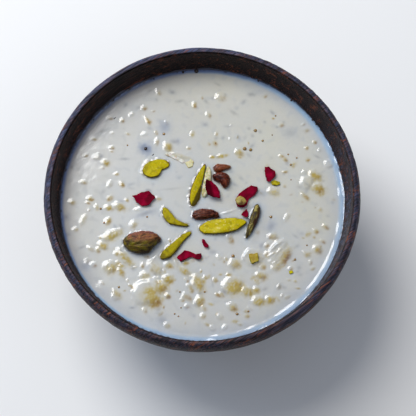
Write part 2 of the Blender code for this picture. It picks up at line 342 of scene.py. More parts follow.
def bowl_profile():
    """Radius and height pairs from the hollow's lowest point, over the lip and down to the recess."""
    top = BOWL_HEIGHT - LIP_INNER_DROP
    sweep = np.sin(np.linspace(0, math.pi / 2, 31))
    hollow = [(0.0, top - HOLLOW_DEPTH)]
    hollow += [(float(inner_radius(z)), float(z)) for z in top - HOLLOW_DEPTH * (1 - sweep[1:-1])]
    groove = [(LIP_INNER_RADIUS + 0.05, top + 0.15), (LIP_INNER_RADIUS + 0.42, top + 0.02),
              (LIP_INNER_RADIUS + 0.55, top + 0.42)]
    lip_in = arc(LIP_CREST_RADIUS, top, LIP_INNER_RADIUS - LIP_CREST_RADIUS, LIP_INNER_DROP,
                 np.linspace(0, math.pi / 2, 7))[3:]
    widest = BOWL_HEIGHT - LIP_OUTER_DROP
    lip_out = arc(LIP_CREST_RADIUS, widest, RIM_RADIUS - LIP_CREST_RADIUS, LIP_OUTER_DROP,
                  np.linspace(math.pi / 2, 0, 9)[1:])
    outside = [(float(outer_radius(z)), float(z)) for z in widest - (widest - FOOT_HEIGHT) * sweep[1:]]
    corner = float(outer_radius(FOOT_HEIGHT))
    cove = [(FOOT_WAIST_RADIUS + (corner - FOOT_WAIST_RADIUS) * (1 - math.sin(t)),
             FOOT_HEIGHT - FOOT_COVE * (1 - math.cos(t))) for t in np.linspace(0, math.pi / 2, 6)[1:]]
    foot = [(FOOT_RADIUS - 0.3, FOOT_EDGE + 1.2), (FOOT_RADIUS, FOOT_EDGE + 0.5), (FOOT_RADIUS, FOOT_EDGE),
            (FOOT_RADIUS - 0.25, 0.25), (FOOT_RADIUS - FOOT_EDGE, 0.0),
            (FOOT_INNER_RADIUS + 0.3, 0.0), (FOOT_INNER_RADIUS, 0.05), (RECESS_RADIUS, RECESS_DEPTH),
            (RECESS_RADIUS - 1.0, RECESS_DEPTH), (0.0, RECESS_DEPTH)]
    return hollow + groove + lip_in + lip_out + outside + cove + foot


DEEPEST_WEAR = 0.3  # how far the worn surface sinks at most
# the lip's bluish dust, with a painted reflection of the bluish light on top
LIP_BLUE = rgb(46, 60, 88)
WORN_BROWN = rgb(96, 66, 52)
# painted sheen of the bluish light on the inner wall
PAINTED_SHEEN_BLUE = rgb(70, 86, 112)


def make_bowl(segments=640):
    """The turned bowl. Its surface sinks a little along the grain, where the wood is worn."""
    profile = np.array(bowl_profile())
    turns = np.arange(segments) * math.tau / segments
    around = np.stack([np.cos(turns), np.sin(turns)], -1)
    middle = profile[1:-1]
    rings = np.concatenate([middle[:, None, :1] * around[None],
                            np.repeat(middle[:, None, 1:], segments, 1)], -1).reshape(-1, 3)
    vertices = np.concatenate([rings, [(0, 0, profile[0, 1]), (0, 0, profile[-1, 1])]])
    index = np.arange(len(rings)).reshape(-1, segments)
    after = np.roll(index, -1, axis=1)
    hollow_end = [(len(rings), i, j) for i, j in zip(index[0].tolist(), after[0].tolist())]
    foot_end = [(len(rings) + 1, j, i) for i, j in zip(index[-1].tolist(), after[-1].tolist())]
    faces = bridged(index).tolist() + hollow_end + foot_end
    bowl = new_object("wooden_bowl", vertices, faces, WOOD, ["bowl"])
    x, y, z = vertices.T
    turn = math.radians(GRAIN_TURN)
    grain = np.column_stack([x * math.cos(turn) + y * math.sin(turn),
                             y * math.cos(turn) - x * math.sin(turn), z])
    fibres = noise(grain * (0.10, 1, 1), 1.9, 301)
    worn = 0.10 * (1 + fibres) + 0.09 * (1 + noise(vertices, 11.0, 302))
    worn *= smoothstep(0.3, 3.0, z)
    swell(bowl, -np.clip(worn, 0, DEEPEST_WEAR))
    paint(bowl, bowl_tint(x, y, z, vertices, grain, fibres, normals_of(bowl)[:, 2]))


def bowl_tint(x, y, z, vertices, grain, fibres, upward):
    """What the wood's colour gains: a bluish lip, its dust together with a painted reflection of the bluish
    light, worn edges, and a painted sheen on the inner wall on the side that faces the light.
    """
    reach = np.hypot(x, y)
    widest = BOWL_HEIGHT - LIP_OUTER_DROP
    lip = smoothstep(LIP_INNER_RADIUS + 0.4, LIP_INNER_RADIUS + 0.9, reach)
    lip *= smoothstep(widest - 1.5, widest + 1.5, z)
    towards = (y - x) / np.maximum(reach, 1.0) / math.sqrt(2)
    # dust on the lip everywhere, with a painted reflection that grows towards the upper left and the right
    # and on faces that look up
    dust_and_sheen = 0.42 + 0.80 * smoothstep(-0.3, 0.9, towards)
    dust_and_sheen += 0.35 * smoothstep(0.3, 1.0, x / np.maximum(reach, 1.0))
    dust_and_sheen *= lip * (0.75 + 0.7 * fibres) * smoothstep(-0.1, 0.5, upward)
    worn_edge = np.exp(-((reach - LIP_INNER_RADIUS - 1.1) / 0.35) ** 2)
    worn_edge += np.exp(-((reach - RIM_RADIUS + 0.5) / 0.3) ** 2)
    worn_edge *= lip * smoothstep(-0.2, 0.5, noise(vertices, 3.0, 303))
    # painted sheen on the inner wall just above the cream, on the lower right side that faces the light,
    # broken along the grain
    painted_wall_sheen = smoothstep(0.1, 0.9, -towards) * smoothstep(LEVEL - 1.0, LEVEL + 2.0, z)
    painted_wall_sheen *= smoothstep(LIP_INNER_RADIUS + 0.4, LIP_INNER_RADIUS, reach)
    painted_wall_sheen *= smoothstep(0.05, 0.40, noise(grain * (0.06, 1, 1), 0.8, 304))
    tint = dust_and_sheen[:, None] * LIP_BLUE + 0.6 * worn_edge[:, None] * WORN_BROWN
    return tint + 0.9 * painted_wall_sheen[:, None] * PAINTED_SHEEN_BLUE


make_bowl()


# -------- the pudding
CREAM_COLOUR = rgb(196, 195, 189)
CREAM_GREYISH = rgb(187, 189, 187)
CREAM_YELLOWISH = rgb(199, 195, 176)
# painted light on the side towards the window
CREAM_PAINTED_LIGHT = rgb(206, 206, 201)
CREAM_WARM = rgb(202, 199, 184)
GRAIN_YELLOW = rgb(180, 160, 84)
# the grains' own brown together with painted shade on their lower right
GRAIN_BROWN_SHADE = rgb(146, 108, 56)
# painted brownish shade beside the shaded wall
PAINTED_WALL_SHADE = rgb(158, 146, 138)
SMUDGE_GREY = rgb(128, 126, 124)
SMUDGE_BLUE = rgb(96, 124, 166)
EDGE_BLUE = rgb(148, 180, 207)
# painted reflection of the bluish light on the milk's lit edge
PAINTED_EDGE_REFLECTION = rgb(164, 188, 210)
# painted shade in the line where the milk meets the wall
EDGE_DEEP_SHADE = rgb(84, 102, 146)
# painted bluish shade near the wall
EDGE_BLUE_SHADE = rgb(174, 184, 198)
# the wood's colour at the contact, used as painted shade
SHADED_CONTACT_WOOD = rgb(30, 25, 30)

# Rice and soft clumps that stand in the cream: x, y, half length, half width, turn in degrees,
# height, how yellow they are and how brown their lower right side is
# the brown on the lower right side, away from the light, is partly the rice's own and partly painted shade
GRAINS = (
    (-22.5, -38, 5.9, 5.1, 40, 1.25, 0.35, 0), (-20, -41, 3.4, 2.8, 10, 0.7, 0.95, 0.9),
    (-21.5, -37.5, 2.6, 2.2, 0, 0.9, 0.8, 0.1), (-17, -35.5, 3, 2.5, 20, 1, 0.85, 0.5),
    (-14, -32.5, 2.2, 1.9, 0, 0.8, 0.9, 0.3), (-14, -26.5, 1.8, 1.7, 0, 0.6, 0.6, 0.1),
    (-19, -28, 3.6, 2.2, -55, 1.3, 0.4, 0), (-23.5, -31, 2.2, 1.5, 10, 0.8, 0.5, 0),
    (-14, -39.5, 1.3, 1.1, 0, 0.4, 0.7, 0.8), (-8, -41, 1, 0.9, 0, 0.4, 0.4, 0.6),
    (-7.5, -29, 2.8, 1.6, -35, 0.9, 0.7, 0.2), (-7, -25.5, 1.4, 1.2, 0, 0.5, 0.7, 0.3),
    (-10.5, -26, 3.2, 1.1, -52, 0.9, 0.1, 0), (-28, -9.5, 2, 1.4, 60, 0.8, 0.4, 0.1),
    (-26, -3, 2.3, 0.9, 15, 0.5, 0, 0), (-34, -2, 2.6, 1.8, -20, 1.1, 0.7, 0.2),
    (-38.5, -2.5, 1.4, 1.3, 0, 0.6, 0.8, 0.2), (-38.5, -8, 1.8, 1.2, 60, 0.8, 0.7, 0.5),
    (-48.5, -7.5, 2.6, 1.2, 65, 0.8, 0.3, 0), (-37, -14, 4.6, 2, 30, 1.3, 0.7, 0),
    (-40.5, -18.5, 2.3, 1.6, -35, 0.8, 0.7, 0.1), (-45, -20, 1.8, 1, -30, 0.5, 0.2, 0.1),
    (-31.5, -23.5, 4.6, 1.9, -45, 1, 0.7, 0.1), (-37.5, -27.5, 2.8, 2.5, 20, 1.2, 0.7, 0.2),
    (-33, -29.5, 2.3, 1.3, -65, 0.7, 0.7, 0.3), (-34.5, -38.5, 2.8, 1.3, -45, 0.8, 0.5, 0.2),
    (11, -15.5, 2.5, 1.5, -70, 0.5, 0.4, 0.6), (28.5, -14.5, 1.9, 1.6, 0, 0.8, 0.4, 0.3),
    (30.5, -21, 5.4, 3.2, 58, 1.2, 0.15, 0), (33, -23, 5.2, 1.8, 64, 1.2, 0.6, 1),
    (29.5, -27, 2.4, 1.8, 60, 0.9, 0.3, 0.2), (20.5, -23.5, 4, 3.5, -15, 1.3, 0.3, 0),
    (13, -26, 2.5, 2, 0, 0.8, 0.6, 0.3), (7, -23.5, 1.6, 1.2, -40, 0.6, 0.1, 0),
    (23.5, -31, 2.6, 1.9, 0, 0.8, 0.6, 0.4), (46.5, -20, 2.3, 1.8, -60, 0.9, 0.4, 0.5),
    (50, -10.5, 1.6, 1.1, -40, 0.5, 0.4, 0.6), (-2, -34, 4.2, 2.2, -70, 1.3, 0.7, 0.2),
    (-4.5, -37, 1.4, 1.1, -60, 0.6, 0.5, 0.4), (-1.5, -41.5, 2.6, 1.9, 60, 0.7, 0.7, 0.4),
    (12, -35, 4.2, 3.6, 20, 1.7, 0.95, 0.1), (6, -39, 1.4, 0.9, -35, 0.4, 0.4, 0.8),
    (18, -37.5, 2.5, 2.2, 0, 0.9, 0.8, 0.2), (21.5, -37, 1.5, 1.4, 0, 0.6, 0.7, 0.2),
    (22.5, -41.5, 2.9, 2, 0, 1.1, 0.8, 0.1), (27, -41, 2, 1.7, 0, 0.9, 0.8, 0.3),
    (12, -44, 2.1, 1.8, -30, 0.8, 0.5, 0.4), (7, -48, 1.8, 1.4, -40, 0.7, 0.1, 0),
    (4, -52.5, 1.5, 1.2, -40, 0.6, 0, 0), (9, -52.5, 1.6, 1.2, 50, 0.6, 0, 0),
    (43, 8.5, 3.2, 2.7, 60, 1.2, 0.2, 0), (46, 11.5, 2.9, 1.9, -32, 1, 0.9, 0.2),
    (42, 13, 1.5, 1, 60, 0.9, 0, 0), (47, 6, 3, 2.4, -20, 1.1, 0.85, 0.5),
    (42, 2.5, 2.6, 1.2, -45, 0.6, 0.5, 0.5), (52, 16.5, 2.1, 1.8, -50, 1.1, 0, 0.1),
    (29, 4.5, 2.4, 1.9, -10, 0.8, 0.5, 0), (34.5, -6.5, 2.4, 1.1, 60, 0.5, 0.1, 0),
    (15, 21.5, 1.9, 1.5, -30, 0.9, 0.7, 0.4), (34, 18.5, 1.3, 1, -40, 0.4, 0.6, 0.6),
    (32.5, 20, 1.1, 1, 0, 0.4, 0.5, 0.5), (34, 13, 1.4, 0.6, 10, 0.3, 0.5, 0.5),
    (46.5, 26, 0.9, 0.8, 0, 0.4, 0.6, 0.8), (43, 23.5, 1, 0.8, 60, 0.4, 0.6, 0.7),
    (48.5, 22.5, 1.2, 0.8, 60, 0.4, 0, 0.1), (7.5, 46, 2.3, 2, 20, 1.1, 0.2, 0.2),
    (-3.5, 42.5, 1.5, 1, 80, 0.7, 0.6, 0.7), (2.5, 38, 1.4, 1.1, -50, 0.4, 0.3, 0.5),
    (12, 33.5, 0.8, 0.6, 30, 0.4, 0, 0), (11.5, 27.5, 0.8, 0.6, 60, 0.4, 0, 0),
    (-14.5, 24, 2.3, 1.8, -70, 1.2, 0.7, 0.2), (-19, 26, 1.7, 0.9, 80, 0.8, 0.3, 0.4),
    (-24, 29.5, 1.7, 0.9, 15, 0.6, 0, 0), (-23, 35.5, 1.9, 0.7, -58, 0.7, 0.5, 0.7),
    (-24.5, 41, 1.3, 1, 0, 0.7, 0.4, 0.6), (-29.5, 38, 1.3, 0.8, 25, 0.6, 0.1, 0),
    (-33.5, 35.5, 1.1, 0.9, 0, 0.6, 0.4, 0.6), (-38.5, 36.5, 1.3, 0.8, 0, 0.6, 0.2, 0.6),
    (-37.5, 23.5, 1, 0.8, 0, 0.5, 0.4, 0.6), (-43.5, 19.5, 1.8, 1.3, 20, 0.9, 0.1, 0),
    (-40, 17, 1.6, 1.4, -30, 0.7, 0.9, 0.3), (-49, 8.5, 1.6, 0.9, -10, 0.6, 0.4, 0.4),
    (-38, 7.5, 1.8, 1.1, 55, 0.8, 0.1, 0.1), (-33, 7.5, 1.3, 1, -60, 0.7, 0.6, 0.6),
    (-46, 1.5, 1.3, 1.1, 0, 0.7, 0.8, 0.6), (-9, 20, 5.4, 1.1, -18, 0.7, 0.3, 0),
    (8, 20, 2.3, 0.9, 12, 0.5, 0.9, 0), (4, 19.5, 1.2, 0.7, 0, 0.4, 0.9, 0),
)
# Thin folds of skin on the cream: x, y, half length, half width, turn, height
CREASES = (
    (28.5, -20, 2.8, 0.45, 42, 0.32), (30, -18.5, 2.6, 0.45, 40, 0.32), (31, -21, 2.6, 0.4, 50, 0.26),
    (28, -22.5, 1.8, 0.4, 35, 0.26), (31.5, -18, 1.8, 0.4, 60, 0.26), (29.5, -25.5, 1.5, 0.4, 30, 0.22),
    (-20.5, -25.5, 2.2, 0.5, 50, 0.28), (-19.5, -28.5, 2.4, 0.5, -55, 0.3), (-18, -32, 1.5, 0.45, 0, 0.22),
    (-11, -25.5, 3.4, 0.5, -68, 0.3), (-8.5, -26, 2, 0.5, -50, 0.22), (10.5, -4.5, 3.2, 0.4, 18, 0.25),
    (17.5, -22.5, 1.9, 0.5, 62, 0.26), (19.5, -20.5, 1.8, 0.5, 12, 0.24),
)
# Grains and specks sunk under the cream: x, y, half length, half width, turn, how grey, how blue
SMUDGES = (
    (-55.5, -6.5, 1, 0.7, 90, 0.6, 0.4), (-54.5, -14, 0.9, 0.6, 0, 0.5, 0.3),
    (-49, -19.5, 1.2, 0.5, 20, 0.5, 0.1), (-47.5, -27.5, 1.4, 1.1, 0, 0.2, 0.5),
    (-16, -49.5, 1.8, 1.5, 0, 0.45, 0.2), (-28, -44.5, 0.8, 0.4, 0, 0.7, 0.2),
    (-23, -5, 2.8, 0.8, 20, 0.5, 0.3), (4, -33.5, 3, 0.4, 100, 0.4, 0), (-23.5, 23, 1.7, 1.3, -40, 1, 1),
    (-15.5, 32.5, 1.6, 1.6, 0, 0.15, 0.5), (-12.5, 48, 1, 0.7, 0, 0.6, 0.2),
    (-9.5, 44, 1.7, 0.7, 10, 0.5, 0), (1.5, 44, 1.2, 0.6, -50, 0.5, 0.1),
    (6.5, 51.5, 1.6, 0.5, -35, 0.4, 0), (13, 39, 2.1, 0.7, -35, 0.5, 0), (20.5, 47, 1.5, 0.8, 0, 0.6, 0.1),
    (-11.5, 26, 1.5, 0.9, -20, 0.6, 0.1), (-40.5, 31, 2.6, 0.6, 22, 0.5, 0.1),
    (-32, 18.5, 1.9, 0.5, 0, 0.5, 0.1), (-54, 15, 0.8, 0.6, 90, 0.7, 0.1), (-13, 5.5, 4, 0.5, 5, 0.3, 0),
    (31, -36, 1.2, 0.9, 80, 0.7, 0), (24.5, 3.5, 1.6, 1.1, 0, 0.3, 0.3), (36.5, 30, 2.4, 1.8, 0, 0.25, 0.2),
    (22, -3.5, 1.8, 1.2, 50, 0.3, 0.4), (28, -10.5, 1.7, 1, 60, 0.35, 0.4),
)
SCATTERED_GRAINS, SCATTERED_SMUDGES = 170, 110
OPEN_CREAM = 54.0  # the radius that the scattered ones keep within
STEEPEST = 0.38  # the slope of the steepest swell's side
GRAIN_FOOT = 1.18  # where a swell begins, in grain radii
REACH_INTO_WALL = 0.15  # how far the pudding's sides reach into the bowl, so that no gap shows


def grain_distance(x, y, grain, wobble, shift=0.0, size=1.0):
    """How far each point is from a grain's middle, in grain radii, with a slightly uneven outline.

    shift moves the middle to the lower right, where the light is behind the grain, in grain widths.
    """
    cx, cy, half_length, half_width, turn = grain[:5]
    angle = math.radians(turn)
    dx = x - cx - shift * half_width
    dy = y - cy + shift * half_width
    along = dx * math.cos(angle) + dy * math.sin(angle)
    across = dy * math.cos(angle) - dx * math.sin(angle)
    uneven = 1.0 + min(0.30, 0.6 / half_width) * wobble
    return np.hypot(along / half_length, across / half_width) / size * uneven


def disc_grid(count):
    """A square grid of points pressed into a disc of radius 1 with equal cells, and its faces."""
    line = np.linspace(-1, 1, count)
    a, b = np.meshgrid(line, line, indexing="ij")
    wide = np.abs(a) > np.abs(b)
    reach = np.where(wide, a, b)
    share = np.where(wide, b / np.where(a == 0, 1, a), a / np.where(b == 0, 1, b))
    turn = np.where(wide, math.pi / 4 * share, math.pi / 2 - math.pi / 4 * share)
    points = np.stack([reach * np.cos(turn), reach * np.sin(turn)], -1).reshape(-1, 2)
    index = np.arange(count * count).reshape(count, count)
    faces = np.stack([index[:-1, :-1], index[1:, :-1], index[1:, 1:], index[:-1, 1:]], -1).reshape(-1, 4)
    rim = np.concatenate([index[:-1, 0], index[-1, :-1], index[:0:-1, -1], index[0, :0:-1]])
    return points, faces, rim


def scattered_grains(rng, count):
    """Smaller grains, thick in the near half and at the sides and rare in the calm middle."""
    found = []
    while len(found) < count:
        x, y = rng.uniform(-55, 55, 2)
        if math.hypot(x, y) > OPEN_CREAM:
            continue
        wanted = 0.22 + 0.55 * smoothstep(-5, -30, y) + 0.22 * smoothstep(25, 45, abs(x))
        wanted *= 0.10 + 0.90 * smoothstep(17, 30, math.hypot(x, y + 2))
        if rng.uniform() > wanted:
            continue
        half_length = rng.uniform(0.6, 1.6)
        half_width, turn = half_length * rng.uniform(0.5, 0.85), rng.uniform(-80, 80)
        rise = rng.uniform(0.05, 0.34) * (0.4 + 0.6 * smoothstep(0, -25, y))
        yellow, brown = rng.uniform(0.0, 0.6), rng.uniform(0.0, 0.6)
        found.append((x, y, half_length, half_width, turn, rise, yellow, brown))
    return found


def scattered_smudges(rng, count):
    """Faint grey ends of rice that lie under the cream, all over the bowl."""
    turns = rng.uniform(0, math.tau, count)
    reach = OPEN_CREAM * np.sqrt(rng.uniform(0.03, 1, count))
    return [(r * math.cos(t), r * math.sin(t), rng.uniform(0.5, 1.3), rng.uniform(0.4, 0.8),
             rng.uniform(-60, 60), rng.uniform(0.15, 0.55), rng.uniform(0.0, 0.2))
            for t, r in zip(turns, reach)]


def raise_grains(x, y, flat, grains):
    """The cream's height over the grains: smooth swells that run into each other, none too steep."""
    wobble = noise(flat, 2.6, 1)
    ripple = 0.22 * noise(flat, 2.3, 9) + 0.07 * noise(flat, 0.95, 10)
    total = np.zeros(len(x))
    for grain in grains:
        rho = grain_distance(x, y, grain, wobble)
        near = rho < 1.3
        flat_top = 0.46 + 0.24 * smoothstep(1.6, 3.8, grain[3])
        rise = min(0.75 * grain[5], STEEPEST * (GRAIN_FOOT - flat_top) * grain[3] / 1.5)
        rough = ripple[near] * min(1.0, grain[5]) * (1.25 - 1.65 * flat_top)
        lift = smoothstep(GRAIN_FOOT, flat_top, rho[near]) * (rise + rough)
        total[near] += np.maximum(lift, 0.0) ** 3
    return np.cbrt(total)


def tint_grains(x, y, flat, grains, colour):
    """Yellow rice showing through the cream, browner along its lower right side, away from the light:
    partly the rice's own brown and partly painted shade.
    """
    wobble = noise(flat, 1.6, 14)
    speckle = noise(flat, 0.95, 11) + 0.6 * noise(flat, 2.0, 21)
    mottle = np.clip(0.80 + 0.60 * speckle, 0.0, 1.0)
    for grain in grains:
        yellow, brown = grain[6:]
        rho = grain_distance(x, y, grain, wobble, shift=0.32, size=0.82)
        near = rho < 2.2
        body = np.exp(-0.9 * rho[near] ** 2.6)
        tone = mix(colour[near], GRAIN_YELLOW, 1.5 * yellow * body * mottle[near])
        # the rice's own brown and painted shade along the lower right side
        rho = grain_distance(x, y, grain, wobble, shift=0.62, size=0.55)[near]
        tone = mix(tone, GRAIN_BROWN_SHADE, 1.3 * brown * np.exp(-rho ** 2) * mottle[near])
        colour[near] = tone
    return colour


def cream_ground(flat):
    """The colour of plain cream: a little greyer and a little yellower in wide soft patches, and painted
    paler towards the left, the side of the window light.
    """
    colour = mix(CREAM_COLOUR, CREAM_GREYISH, 0.5 * smoothstep(-0.2, 0.6, noise(flat, 13.0, 6)))
    colour = mix(colour, CREAM_YELLOWISH, 0.5 * smoothstep(0.0, 0.7, noise(flat, 17.0, 8)))
    # painted light: paler towards the left, the side of the window light
    colour = mix(colour, CREAM_PAINTED_LIGHT, 0.8 * smoothstep(0.0, -38.0, flat[:, 0]))
    colour = mix(colour, CREAM_WARM, 0.5 * smoothstep(5.0, 45.0, flat[:, 0] + flat[:, 1]))
    return mix(colour, CREAM_GREYISH * 0.93, 0.35 * smoothstep(0.15, 0.6, noise(flat, 3.1, 16)))


def sink_smudges(x, y, flat, colour):
    """Grey and blue ends of rice and specks, seen through the cream."""
    wobble = noise(flat, 1.5, 15)
    for smudge in (*SMUDGES, *scattered_smudges(np.random.default_rng(11), SCATTERED_SMUDGES)):
        grey, blue = smudge[5:]
        rho = grain_distance(x, y, smudge, wobble)
        colour = mix(colour, SMUDGE_BLUE, 0.8 * blue * np.exp(-(rho / 1.7) ** 2))
        colour = mix(colour, SMUDGE_GREY, 0.8 * grey * np.exp(-rho ** 2))
    return colour


def cream_height(x, y, flat, grains):
    """The cream's height above its level: soft waves, swells over the grains and thin folds of skin."""
    lively = 0.12 + 0.88 * smoothstep(-8, -30, y)
    height = 0.05 * noise(flat, 19.0, 3) + 0.15 * lively * noise(flat, 7.5, 4) + 0.008 * noise(flat, 2.2, 5)
    height += raise_grains(x, y, flat, grains)
    for crease in CREASES:
        height += crease[5] * np.exp(-grain_distance(x, y, crease, noise(flat, 1.2, 23)) ** 2)
    return height


def edge_height(flat, ragged, lit_side):
    """How the milk meets the wall: a broken ridge on the lit side and a thin rim on the other."""
    broken = np.clip(0.70 + 0.9 * noise(flat, 6.0, 24), 0.15, 1.0)
    ridge = 0.34 * broken * lit_side ** 2 * smoothstep(2.5, 1.2, ragged)
    return ridge + 0.42 * (1.0 - 0.9 * lit_side) * np.exp(-np.clip(ragged, -0.8, 12.0) / 0.6)


def tint_edge(x, y, flat, to_wall, ragged, lit_side, colour):
    """The milk's edge: blue where it thins, paler on the lit side as painted reflection, with painted
    bluish and brownish shade near the wall and near-black painted shade at the very end.
    """
    far_right = smoothstep(0.35, 0.95, (x + y) / np.maximum(np.hypot(x, y), 1.0) / math.sqrt(2))
    # painted brownish shade beside the wall on the shaded upper left, and painted bluish shade near the
    # wall elsewhere
    wall_shade = smoothstep(8.0, 0.6, to_wall) * smoothstep(0.75, 0.1, lit_side) * (1.0 - far_right)
    blue_shade = smoothstep(8.0, 0.5, to_wall) * smoothstep(0.10, 0.45, lit_side)
    colour = mix(colour, EDGE_BLUE_SHADE, 0.40 * blue_shade)
    colour = mix(colour, PAINTED_WALL_SHADE, 0.42 * wall_shade)
    # blue where the milk thins, widened and paler on the lit side as a painted reflection of the bluish
    # light
    blue = mix(EDGE_BLUE, PAINTED_EDGE_REFLECTION, smoothstep(0.5, 0.9, lit_side))
    blue_width = 0.6 + 1.7 * lit_side ** 1.5 + 1.5 * far_right
    colour = mix(colour, blue, 0.85 * smoothstep(1.0, 0.3, ragged / blue_width))
    # a deep blue line at the wall, painted wider and stronger on the shaded side as shade
    shaded_side = smoothstep(0.55, 0.15, lit_side)
    deep = smoothstep(0.7 + 1.1 * shaded_side, 0.2, ragged)
    colour = mix(colour, EDGE_DEEP_SHADE, (0.25 + 0.7 * shaded_side) * deep)
    # near-black where the thinnest milk shows the wood, reaching further on the shaded side as painted
    # shade
    shade_at_contact = to_wall + 0.35 * noise(flat, 1.6, 22) + 0.5 * lit_side
    return mix(colour, SHADED_CONTACT_WOOD, 0.9 * smoothstep(0.25, 0.0, shade_at_contact))


def closed_below(top, quads, outline, rim):
    """The cream's surface with its sides down the hollow and a floor: its vertices and faces."""
    levels = np.linspace(LEVEL - 1.0, BOWL_HEIGHT - LIP_INNER_DROP - HOLLOW_DEPTH + 0.4, 7)
    sides = [np.column_stack([outline * (float(inner_radius(z)) + REACH_INTO_WALL), np.full(len(rim), z)])
             for z in levels]
    lower = len(top) + np.arange(len(levels) * len(rim)).reshape(len(levels), -1)
    faces = np.concatenate([quads, bridged(np.vstack([rim, lower]))])
    return np.concatenate([top, *sides]), faces.tolist() + [lower[-1, ::-1].tolist()]


def make_kheer(count=300):
    """The pudding: a cream surface draped over rice, that climbs the wall a little, closed below."""
    grid, quads, rim = disc_grid(count)
    edge = float(inner_radius(LEVEL + 1.9)) + 0.3
    x, y = grid[:, 0] * edge, grid[:, 1] * edge
    flat = np.stack([x, y, np.zeros(len(x))], -1)
    grains = (*GRAINS, *scattered_grains(np.random.default_rng(7), SCATTERED_GRAINS))
    to_wall = float(inner_radius(LEVEL)) - np.hypot(x, y)
    ragged = to_wall + 0.22 * noise(flat, 5.0, 12) + 0.08 * noise(flat, 1.6, 17)  # its uneven line
    lit_side = 0.5 + 0.5 * (x - y) / np.maximum(np.hypot(x, y), 1.0) / math.sqrt(2)
    height = cream_height(x, y, flat, grains) + edge_height(flat, ragged, lit_side)
    colour = sink_smudges(x, y, flat, tint_grains(x, y, flat, grains, cream_ground(flat)))
    colour = tint_edge(x, y, flat, to_wall, ragged, lit_side, colour)
    top = settle_round_toppings(np.stack([x, y, LEVEL + height], -1), colour)
    vertices, faces = closed_below(top, quads, grid[rim], rim)
    piece = new_object("kheer_pudding", vertices, faces, CREAM, ["kheer"])
    hidden = np.tile(CREAM_COLOUR, (len(vertices) - len(top), 1))
    paint(piece, np.concatenate([colour, hidden]))
    return piece


# Toppings that sit in the cream, with the dark colour painted round each: partly what it bleeds into the
# cream, partly painted contact shade
SUNK = {
    "pistachio_bean": (126, 108, 52), "pistachio_whole": (108, 104, 104), "almond_sliver": (186, 174, 118),
    "pistachio_sliver_tall": (112, 88, 44), "pistachio_sliver_curved": (122, 108, 54),
    "pistachio_sliver_wide": (120, 108, 50), "pistachio_sliver_dark": (92, 96, 100),
    "pistachio_sliver_low": (126, 110, 50), "raisin_long": (92, 84, 96),
    "raisin_folded": (140, 104, 58), "raisin_flap": (158, 124, 70),
}


def settle_round_toppings(top, colour):
    """Lets the cream climb the sides of each sunk topping and take some of its colour, darkened as painted
    contact shade, with painted bluish shade beside it, strongest on its lower right.
    """
    broken = noise(top * (1, 1, 0), 1.5, 18)
    speckle = noise(top * (1, 1, 0), 0.6, 19)
    for node, bleed_and_shade in SUNK.items():
        low, high = (np.array(c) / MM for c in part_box(node))
        near = np.all((top[:, :2] > low[:2] - 3.0) & (top[:, :2] < high[:2] + 3.0), axis=1)
        mesh = NODES[node].data
        corners = [v.co / MM for v in mesh.vertices]
        tree = BVHTree.FromPolygons(corners, [tuple(p.vertices) for p in mesh.polygons])
        tint = rgb(*bleed_and_shade)
        for i in np.flatnonzero(near):
            spot, _, _, gap = tree.find_nearest(Vector((top[i, 0], top[i, 1], LEVEL + 0.3)))
            away = (top[i, 0] - spot.x - top[i, 1] + spot.y) / max(gap, 0.3)
            climb = max(0.0, 0.55 + 1.1 * broken[i])
            top[i, 2] += 0.26 * climb * math.exp(-gap / 0.5)
            # painted bluish shade beside the topping, strongest on its lower right, away from the light
            blue = (0.16 + 0.26 * min(1.0, max(0.0, away))) * math.exp(-gap / 1.3)
            # a thin dark ring at the topping: what it bleeds, darkened as painted contact shade
            stain_and_shade = min(1.0, max(0.0, (0.85 + 0.8 * speckle[i]) * math.exp(-(gap / 0.55) ** 2)))
            shaded = colour[i] * (1 - blue) + EDGE_BLUE * blue
            colour[i] = shaded * (1 - 0.85 * stain_and_shade) + tint * 0.85 * stain_and_shade
    return top


KHEER = make_kheer()


# -------- nuts and raisins
def welded(node):
    """A CAD node's mesh with its doubled corners joined, open for editing."""
    builder = bmesh.new()
    builder.from_mesh(NODES[node].data)
    bmesh.ops.remove_doubles(builder, verts=builder.verts, dist=1e-6)
    return builder


def closed(builder, name):
    """The mesh that was open for editing, under its new name."""
    mesh = bpy.data.meshes.new(name)
    builder.to_mesh(mesh)
    builder.free()
    return mesh


def fine_copy(name, mesh, voxel, softness=4):
    """An object with a fine, even, slightly softened mesh of the same shape as the given one."""
    piece = placed(name, mesh)
    remesh = piece.modifiers.new("voxels", "REMESH")
    remesh.mode = "VOXEL"
    remesh.voxel_size = voxel * MM
    soften = piece.modifiers.new("soften", "SMOOTH")
    soften.iterations = softness
    soften.factor = 0.5
    bpy.context.view_layer.update()
    evaluated = piece.evaluated_get(bpy.context.evaluated_depsgraph_get())
    fine = bpy.data.meshes.new_from_object(evaluated)
    piece.modifiers.clear()
    piece.data = fine
    fine.shade_smooth()
    return piece


def axes_of(node):
    """The node's middle, long direction, cross direction and half length, in millimetres."""
    points = vertices_of(NODES[node])
    middle = 0.5 * (points.min(0) + points.max(0))
    spread = points[:, :2] - points[:, :2].mean(0)
    _, _, rows = np.linalg.svd(spread, full_matrices=False)
    long_way = rows[0] * (1 if rows[0][0] >= 0 else -1)
    cross = np.array([-long_way[1], long_way[0]])
    half = np.abs(spread @ long_way).max()
    return middle, long_way, cross, half


def cut_face_direction(node):
    """The direction that the largest flat part of the node's surface faces."""
    mesh = NODES[node].data
    faces = [(p.normal.copy(), p.area) for p in mesh.polygons if p.normal.z > 0.3]
    best = max(faces, key=lambda f: sum(a for n, a in faces if n.dot(f[0]) > 0.999))
    return np.array(best[0])


def local_frame(node, points):
    """The points along the node's long direction, across it and up, counted from its middle."""
    middle, long_way, cross, _ = axes_of(node)
    offset = points[:, :2] - middle[:2]
    return np.column_stack([offset @ long_way, offset @ cross, points[:, 2]])


